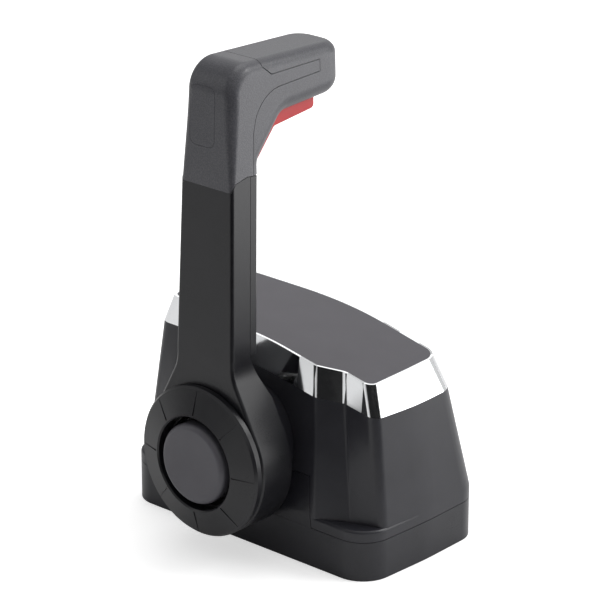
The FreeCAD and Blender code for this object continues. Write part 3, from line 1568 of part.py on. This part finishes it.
def make_screws():
    """All the fixings that belong to the housing, one node for each kind."""
    height = "hub_height"
    lock_places = []
    for angle in lock_screw_angles():
        lock_places.append(("lock_screw_circle * cos(%d)" % angle, "-hub_boss_face - lock_screw_sink",
                            height + " + lock_screw_circle * sin(%d)" % angle))
    cover_places = []
    for side in ("", "-"):
        for end in ("", "-"):
            cover_places.append((side + "cover_post_x", end + "cover_post_y", "screw_head_height * 1.25"))
    foot_middle = "(plate_foot_start + plate_foot_end) / 2"
    foot_places = [(side + foot_middle, "plate_foot_screw_y", "floor_thickness + plate_thickness") for side in ("", "-")]
    pillar_places = [("0", "-plate_face + plate_thickness", text) for text in ("pillar_high", "pillar_low")]
    anchor_places = [(side + "anchor_x", "-plate_face - anchor_thickness", "anchor_high - screw_head_radius - 1")
                     for side in ("", "-")]
    switch_places = [("switch_start + switch_height / 2", "-plate_face + plate_thickness + switch_depth",
                      "hub_height" + sign + "switch_screw_x") for sign in (" + ", " - ")]
    inwards = Vector(0, 1, 0)
    outwards = Vector(0, -1, 0)
    return [
        screw("lock_plate_screws", lock_places, "lock_screw_length", inwards),
        screw("cover_screws", cover_places, "cover_screw_length", Vector(0, 0, 1), "cover_screw_radius",
              "screw_head_radius"),
        screw("plate_foot_screws", foot_places, "plate_thickness + floor_thickness - 1", Vector(0, 0, -1)),
        screw("pillar_screws", pillar_places, "pillar_screw_length", outwards),
        screw("anchor_screws", anchor_places, "anchor_thickness + plate_thickness", inwards),
        screw("switch_screws", switch_places, "switch_depth + plate_thickness", outwards,
              "switch_screw_radius", "switch_screw_radius * 1.8"),
    ]


def write_parts(pieces):
    """Checks every object and every sub-part, then writes each sub-part to its own file."""
    doc.recompute()
    failed = [item.Label for item in doc.Objects if "Invalid" in item.State or "Error" in item.State]
    failed += [piece.Label for piece in pieces
               if piece.Shape.isNull() or not piece.Shape.isValid() or piece.Shape.Volume <= 0]
    if failed:
        raise RuntimeError("no sound shape: " + ", ".join(failed))
    os.makedirs("parts", exist_ok=True)
    for piece in pieces:
        piece.Shape.exportStep("parts/" + piece.Label + ".step")
        print(piece.Label, len(piece.Shape.Solids), round(piece.Shape.Volume))


parts = make_housing() + make_trim()
parts += [make_lever_shell(), make_back_cover(), make_dial_ring()] + make_button()
parts += make_grip() + make_trigger()
parts += make_shaft() + [make_drive_gear(), make_cable_arm("shift_arm", 1), make_cable_arm("throttle_arm", -1)]
parts += make_studs() + [make_plate()] + make_pillars()
parts += [make_cable_anchor("shift_cable_anchor", 1), make_cable_anchor("throttle_cable_anchor", -1)]
parts += [make_switch(), make_lock_plate()] + make_screws()
write_parts(parts)
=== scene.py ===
import bpy
import json
import math
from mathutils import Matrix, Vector


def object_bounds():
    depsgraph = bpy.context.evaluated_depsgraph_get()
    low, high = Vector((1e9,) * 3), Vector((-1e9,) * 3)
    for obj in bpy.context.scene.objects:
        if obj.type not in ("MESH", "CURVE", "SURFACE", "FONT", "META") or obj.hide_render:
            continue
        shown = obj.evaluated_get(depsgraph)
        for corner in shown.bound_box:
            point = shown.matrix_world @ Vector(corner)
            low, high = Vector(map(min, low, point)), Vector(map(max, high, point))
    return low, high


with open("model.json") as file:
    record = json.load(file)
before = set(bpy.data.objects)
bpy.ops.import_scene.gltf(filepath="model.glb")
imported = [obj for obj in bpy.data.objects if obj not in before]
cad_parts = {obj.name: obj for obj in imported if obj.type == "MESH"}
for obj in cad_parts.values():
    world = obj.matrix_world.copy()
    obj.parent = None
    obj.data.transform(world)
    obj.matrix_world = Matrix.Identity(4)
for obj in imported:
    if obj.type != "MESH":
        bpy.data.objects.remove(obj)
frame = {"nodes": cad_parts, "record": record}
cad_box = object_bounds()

# A boat's single-lever throttle control: finishes for its pieces, soft studio light and the camera.
# Frame: +Z up, the lever on the -Y side, +X towards the low end of the housing. Lengths are in metres.

MM = 0.001

# The floor: its glow to the camera is a share of its strength. To glossy rays alone its colour is a painted
# reflection:
# painted dark towards the camera, and a painted bright glow, which is no lamp, on a patch behind
FLOOR_HALF = 6.0
FLOOR_DROP = 0.2 * MM
FLOOR_STRENGTH = 2.0
FLOOR_GLOW = 0.275
# Where the floor is painted dark to glossy rays alone, a painted dark reflection
DARK_FROM = 0.28
DARK_SLANT = 0.09
DARK_EDGE = 0.04
DARK_START = 0.02
# Where the floor glows to glossy rays alone, a painted bright reflection that is no lamp
BRIGHT_REFLECTION_LEFT = 0.34
BRIGHT_REFLECTION_NEAR = 0.26
BRIGHT_REFLECTION_EDGE = 0.12
FLOOR_WHITE = (0.9, 0.9, 0.9)
# DARK_COLOUR is both the painted dark reflection in the floor and the dark wall's own colour
DARK_COLOUR = (0.01, 0.01, 0.011)

# The dark wall, as turns in degrees from -Y towards +X
WALL_STEPS = 12
WALL_REACH = 3.0
WALL_FROM = -2
WALL_TO = 106
WALL_TOP = 0.95

# Bump alone turns the plated band's shading by this slope between these X places, front and back alike.
# The solid has no such facets: a slope of 0 takes them out.
BUMP_STRETCHES = ((27 * MM, 39 * MM), (54 * MM, 66 * MM))
BAND_BUMP_SLOPE = 0.38

# The dome of light
DOME_BRIGHT_SIDE = (0.6, 0.7, 0.5)
DOME_LOW = 0.1
DOME_HIGH = 0.75

# The camera
CAMERA_PLACE = (0.99666, -1.09767, 0.67875)
CAMERA_AZIMUTH = 42.22
CAMERA_ELEVATION = 20.87
CAMERA_LENS = 189.47
LAMP_AIM = (0, 0, 0.1)

# Shading of the solids
WELD_REACH = 0.001 * MM
CREASE_ANGLE = 24


# Shader maths

class Wire:
    """A number that varies over a surface, reckoned with in plain Python."""

    def __init__(self, finish, socket):
        self.finish = finish
        self.socket = socket

    def calc(self, operation, *others):
        return self.finish.add("ShaderNodeMath", {"operation": operation}, [self, *others])

    def __add__(self, other):
        return self.calc("ADD", other)

    __radd__ = __add__

    def __sub__(self, other):
        return self.calc("SUBTRACT", other)

    def __rsub__(self, other):
        return self * -1 + other

    def __mul__(self, other):
        return self.calc("MULTIPLY", other)

    __rmul__ = __mul__

    def clamped(self):
        return self.calc("MINIMUM", 1).calc("MAXIMUM", 0)

    def above(self, edge, softness):
        """Nought below an edge and one above it, with a soft step between."""
        return ((self - edge) * (1 / softness) + 0.5).clamped()


class Finish:
    """One material, built node by node round a Principled shader."""

    def __init__(self, name, colour, roughness, metallic=0.0, ior=1.5):
        self.material = bpy.data.materials.new(name)
        self.material.use_nodes = True
        self.material.diffuse_color = (*colour, 1)
        self.nodes = self.material.node_tree.nodes
        self.links = self.material.node_tree.links
        self.shader = self.nodes["Principled BSDF"]
        self.set("Base Color", (*colour, 1))
        self.set("Roughness", roughness)
        self.set("Metallic", metallic)
        self.set("IOR", ior)
        self.place = self.nodes.new("ShaderNodeTexCoord").outputs["Object"]

    def set(self, name, value):
        self.feed(self.shader.inputs[name], value)

    def feed(self, socket, value):
        if isinstance(value, Wire):
            self.links.new(value.socket, socket)
        elif isinstance(value, bpy.types.NodeSocket):
            self.links.new(value, socket)
        else:
            socket.default_value = value

    def add(self, kind, settings, values, output=0):
        """Adds a node: its settings come first, then the values or links of its sockets."""
        node = self.nodes.new(kind)
        for key, value in settings.items():
            setattr(node, key, value)
        pairs = values.items() if isinstance(values, dict) else enumerate(values)
        for key, value in pairs:
            self.feed(node.inputs[key], value)
        return Wire(self, node.outputs[output])

    def stretched(self, scale):
        """The piece's own coordinates, stretched along its axes."""
        return self.add("ShaderNodeMapping", {}, {"Vector": self.place, "Scale": scale}).socket

    def noise(self, size, detail=2.0, roughness=0.5, place=None):
        """Cloudy noise whose blots are about one size across."""
        values = {"Vector": place or self.place, "Scale": 1 / size, "Detail": detail, "Roughness": roughness}
        return self.add("ShaderNodeTexNoise", {}, values)

    def cells(self, size):
        """Distance from the middle of small cells, as in moulded grain."""
        values = {"Vector": self.place, "Scale": 1 / size}
        return self.add("ShaderNodeTexVoronoi", {"feature": "F1"}, values)

    def axis(self, name):
        """One coordinate of the surface, in metres."""
        return self.add("ShaderNodeSeparateXYZ", {}, [self.place], name)

    def mix(self, mask, first, second):
        """A colour between two, by a mask."""
        node = self.nodes.new("ShaderNodeMix")
        node.data_type = "RGBA"
        self.feed(node.inputs["Factor"], mask)
        for socket, colour in ((node.inputs[6], first), (node.inputs[7], second)):
            self.feed(socket, colour.socket if isinstance(colour, Wire) else (*colour, 1))
        return Wire(self, node.outputs[2])

    def turned_stretches(self, slope):
        """Bump height, in metres, that turns the shading of the named stretches towards the low end."""
        height = 0.0
        for low, high in BUMP_STRETCHES:
            height = height - self.axis("X").calc("MINIMUM", high).calc("MAXIMUM", low) * slope
        return height

    def bump(self, height, strength, distance):
        values = {"Strength": strength, "Distance": distance, "Height": height}
        self.set("Normal", self.add("ShaderNodeBump", {}, values))


def moulded(name, colour, lighter, roughness, grain, depth, ior=1.5):
    """Moulded or coated black with a fine grain, faint cloudiness and an uneven gloss."""
    finish = Finish(name, colour, roughness, ior=ior)
    cloud = finish.noise(18 * MM, 3.0)
    fine = finish.noise(grain, 2.0, 0.6)
    finish.set("Base Color", finish.mix(cloud.above(0.5, 0.5) * 0.6 + fine * 0.25, colour, lighter))
    finish.set("Roughness", roughness + (cloud - 0.5) * 0.08 + (fine - 0.5) * 0.12)
    finish.bump(fine, 0.35, depth)
    return finish.material


def grip_skin(name, colour, lighter, grain, roughness):
    """Soft-touch grip skin with a leather-like pebble grain."""
    finish = Finish(name, colour, roughness)
    pebble = finish.cells(grain)
    fine = finish.noise(grain * 0.6, 2.0, 0.7)
    cloud = finish.noise(22 * MM, 2.0)
    mask = (pebble * 0.7 + fine * 0.5 + (cloud - 0.5) * 0.3).clamped()
    finish.set("Base Color", finish.mix(mask, colour, lighter))
    finish.set("Roughness", roughness + (pebble - 0.4) * 0.15)
    finish.bump(pebble * 0.8 + fine * 0.4, 0.6, 0.12 * MM)
    return finish.material


def chrome(name):
    """Bright plating with fine wipe marks, and two stretches whose shading bump alone turns by about 21 degrees."""
    finish = Finish(name, (0.88, 0.89, 0.9), 0.05, metallic=1.0)
    wave = finish.noise(30 * MM, 1.0)
    wipe = finish.noise(1.2 * MM, 2.0, 0.6, finish.stretched((0.15, 1, 1)))
    finish.set("Base Color", finish.mix(wave, (0.86, 0.87, 0.885), (0.89, 0.9, 0.91)))
    finish.set("Roughness", 0.04 + wipe * 0.05 + wave * 0.02)
    finish.bump(wave * (0.004 * MM) + finish.turned_stretches(BAND_BUMP_SLOPE), 1.0, 1.0)
    return finish.material


def steel(name, colour, roughness, along):
    """Plated or turned steel with fine marks along one axis."""
    finish = Finish(name, colour, roughness, metallic=1.0)
    marks = finish.noise(0.5 * MM, 3.0, 0.6, finish.stretched(along))
    stain = finish.noise(9 * MM, 3.0)
    finish.set("Roughness", roughness + (marks - 0.5) * 0.2 + (stain - 0.5) * 0.1)
    dull = tuple(part * 0.75 for part in colour)
    finish.set("Base Color", finish.mix(stain.above(0.5, 0.4), dull, colour))
    finish.bump(marks, 0.2, 0.03 * MM)
    return finish.material


def plastic(name, colour, roughness):
    """Plain moulded plastic with faint flow clouding."""
    finish = Finish(name, colour, roughness)
    cloud = finish.noise(12 * MM, 2.0)
    fine = finish.noise(0.4 * MM, 2.0)
    darker = tuple(part * 0.86 for part in colour)
    finish.set("Base Color", finish.mix(cloud.above(0.5, 0.5), darker, colour))
    finish.set("Roughness", roughness + (fine - 0.5) * 0.1)
    finish.bump(fine, 0.2, 0.03 * MM)
    return finish.material


def make_finishes():
    return {
        "satin_black_shell": moulded("satin_black_shell", (0.014, 0.014, 0.018), (0.023, 0.023, 0.029), 0.3,
                                     0.25 * MM, 0.02 * MM),
        "upper_cover": moulded("cover_black", (0.019, 0.019, 0.024), (0.03, 0.03, 0.037), 0.33,
                               0.25 * MM, 0.02 * MM),
        "bright_chrome": chrome("bright_chrome"),
        "dark_panel": moulded("dark_panel", (0.05, 0.047, 0.057), (0.078, 0.074, 0.087), 0.42,
                              0.5 * MM, 0.05 * MM),
        "zinc_steel": steel("zinc_steel", (0.62, 0.62, 0.6), 0.35, (1, 1, 1)),
        "turned_steel": steel("turned_steel", (0.66, 0.66, 0.66), 0.28, (1, 0.1, 1)),
        "gear_steel": steel("gear_steel", (0.42, 0.42, 0.43), 0.4, (1, 0.2, 1)),
        "spring_wire": steel("spring_wire", (0.6, 0.6, 0.62), 0.3, (1, 1, 1)),
        "white_bush": plastic("white_bush", (0.72, 0.72, 0.68), 0.45),
        "switch_plastic": plastic("switch_plastic", (0.03, 0.03, 0.032), 0.4),
        "satin_black_lever": moulded("satin_black_lever", (0.007, 0.007, 0.009), (0.013, 0.013, 0.016), 0.3,
                                     0.3 * MM, 0.02 * MM, 1.45),
        "satin_black_ring": moulded("satin_black_ring", (0.008, 0.008, 0.01), (0.014, 0.014, 0.017), 0.3,
                                    0.3 * MM, 0.015 * MM),
        "grip_rubber": grip_skin("grip_rubber", (0.03, 0.03, 0.036), (0.098, 0.098, 0.11), 0.7 * MM, 0.34),
        "button_plastic": moulded("button_plastic", (0.068, 0.066, 0.077), (0.1, 0.097, 0.111), 0.42,
                                  0.3 * MM, 0.02 * MM),
        "red_trigger": plastic("red_trigger", (0.52, 0.008, 0.012), 0.42),
    }


# Pieces from the frame

def dress(node, finish):
    """Gives a CAD node its finish and smooth shading that keeps its creases and flat faces."""
    node.data.materials.clear()
    node.data.materials.append(finish)
    node.data.polygons.foreach_set("use_smooth", [True] * len(node.data.polygons))
    weld = node.modifiers.new("weld", "WELD")
    weld.merge_threshold = WELD_REACH
    split = node.modifiers.new("crease", "EDGE_SPLIT")
    split.split_angle = math.radians(CREASE_ANGLE)
    flats = node.modifiers.new("flat_faces_stay_flat", "WEIGHTED_NORMAL")
    flats.mode = "FACE_AREA"
    flats.keep_sharp = True


def dress_all(finishes):
    slots = {item["node"]: item["material_slot"] for item in frame["record"]["subparts"]}
    for name, node in frame["nodes"].items():
        dress(node, finishes.get(name) or finishes[slots[name]])


# Studio

def lamp(name, place, size, power):
    """A soft rectangular lamp that faces the object."""
    light = bpy.data.lights.new(name, "AREA")
    light.shape = "RECTANGLE"
    light.size, light.size_y = size
    light.energy = power
    holder = bpy.data.objects.new(name, light)
    bpy.context.scene.collection.objects.link(holder)
    holder.location = place
    holder.rotation_euler = (Vector(LAMP_AIM) - Vector(place)).to_track_quat("-Z", "Y").to_euler()


def make_floor():
    """A pale floor that shows white to the camera and keeps the object's soft shadow.

    To glossy rays alone it carries painted reflections: it is painted dark towards the camera, and a patch behind
    the low end glows bright though it is no lamp, so metal doesn't mirror the white background there.
    """
    mesh = bpy.data.meshes.new("floor")
    level = cad_box[0][2] - FLOOR_DROP
    signs = ((-1, -1), (1, -1), (1, 1), (-1, 1))
    corners = [(FLOOR_HALF * across, FLOOR_HALF * along, level) for across, along in signs]
    mesh.from_pydata(corners, [], [(0, 1, 2, 3)])
    floor = bpy.data.objects.new("floor", mesh)
    bpy.context.scene.collection.objects.link(floor)
    finish = Finish("floor_white", FLOOR_WHITE, 0.9)
    path = finish.nodes.new("ShaderNodeLightPath")
    mirrored = Wire(finish, path.outputs["Is Glossy Ray"])
    seen = Wire(finish, path.outputs["Is Camera Ray"])
    x = finish.axis("X")
    y = finish.axis("Y")
    # Painted dark reflection: to glossy rays alone the floor's colour turns dark in a sector towards the camera
    dark = mirrored * x.above(0.0, DARK_EDGE) * (x * DARK_SLANT - y).above(0.0, DARK_EDGE)
    dark = dark * (x * x + y * y).above(DARK_FROM * DARK_FROM, DARK_START)
    # Painted bright reflection: to glossy rays alone a patch of the floor behind the low end glows, though it is no
    # lamp
    painted_bright_reflection = mirrored * x.above(BRIGHT_REFLECTION_LEFT, BRIGHT_REFLECTION_EDGE) * y.above(BRIGHT_REFLECTION_NEAR, BRIGHT_REFLECTION_EDGE)
    finish.set("Base Color", finish.mix(dark, FLOOR_WHITE, DARK_COLOUR))
    finish.set("Emission Color", finish.mix(seen * FLOOR_GLOW + painted_bright_reflection, (0, 0, 0), (1, 1, 1)))
    finish.set("Emission Strength", FLOOR_STRENGTH)
    floor.data.materials.append(finish.material)


def make_wall():
    """A dark wall that the camera itself doesn't see: low and far behind it, it darkens what the object mirrors."""
    mesh = bpy.data.meshes.new("dark_wall")
    corners = []
    for step in range(WALL_STEPS + 1):
        turn = math.radians(WALL_FROM + (WALL_TO - WALL_FROM) * step / WALL_STEPS)
        for height in (cad_box[0][2], WALL_TOP):
            corners.append((WALL_REACH * math.sin(turn), -WALL_REACH * math.cos(turn), height))
    faces = [(2 * step, 2 * step + 1, 2 * step + 3, 2 * step + 2) for step in range(WALL_STEPS)]
    mesh.from_pydata(corners, [], faces)
    wall = bpy.data.objects.new("dark_wall", mesh)
    bpy.context.scene.collection.objects.link(wall)
    finish = Finish("wall_black", DARK_COLOUR, 0.9)
    cloud = finish.noise(0.3)
    finish.set("Base Color", finish.mix(cloud, (0.008, 0.008, 0.009), (0.014, 0.014, 0.015)))
    wall.data.materials.append(finish.material)
    wall.visible_camera = False


def make_world():
    """White to the camera, and as light a dome that is brightest behind the object's low end."""
    world = bpy.data.worlds.new("studio")
    bpy.context.scene.world = world
    world.use_nodes = True
    nodes = world.node_tree.nodes
    links = world.node_tree.links
    background = nodes["Background"]
    background.inputs["Color"].default_value = (1, 1, 1, 1)
    place = nodes.new("ShaderNodeTexCoord")
    towards = nodes.new("ShaderNodeVectorMath")
    towards.operation = "DOT_PRODUCT"
    links.new(place.outputs["Generated"], towards.inputs[0])
    towards.inputs[1].default_value = Vector(DOME_BRIGHT_SIDE).normalized()
    shade = nodes.new("ShaderNodeMapRange")
    links.new(towards.outputs["Value"], shade.inputs["Value"])
    for name, value in (("From Min", -1), ("From Max", 1), ("To Min", DOME_LOW), ("To Max", DOME_HIGH)):
        shade.inputs[name].default_value = value
    path = nodes.new("ShaderNodeLightPath")
    seen = nodes.new("ShaderNodeMix")
    links.new(path.outputs["Is Camera Ray"], seen.inputs[0])
    links.new(shade.outputs["Result"], seen.inputs[2])
    seen.inputs[3].default_value = 1
    links.new(seen.outputs[0], background.inputs["Strength"])


def make_camera():
    data = bpy.data.cameras.new("camera")
    camera = bpy.data.objects.new("camera", data)
    bpy.context.scene.collection.objects.link(camera)
    bpy.context.scene.camera = camera
    data.sensor_width = 36
    data.sensor_fit = "HORIZONTAL"
    data.lens = CAMERA_LENS
    camera.location = CAMERA_PLACE
    camera.rotation_euler = (math.radians(90 - CAMERA_ELEVATION), 0, math.radians(CAMERA_AZIMUTH))


def make_lights():
    lamp("rear_right", (1.5, 1.3, 0.5), (1.2, 0.9), 8)
    lamp("upper_right", (1.15, 0.9, 1.45), (0.8, 0.6), 12)
    lamp("overhead", (-0.3, 0.5, 1.9), (1.4, 1.4), 11)
    lamp("rear_left", (-0.85, 1.0, 0.72), (0.5, 0.4), 0.5)
    lamp("front_left", (-1.3, -1.1, 0.9), (1.0, 1.0), 2.5)


bpy.context.scene.view_settings.view_transform = "Standard"
dress_all(make_finishes())
make_floor()
make_world()
make_lights()
make_wall()
make_camera()
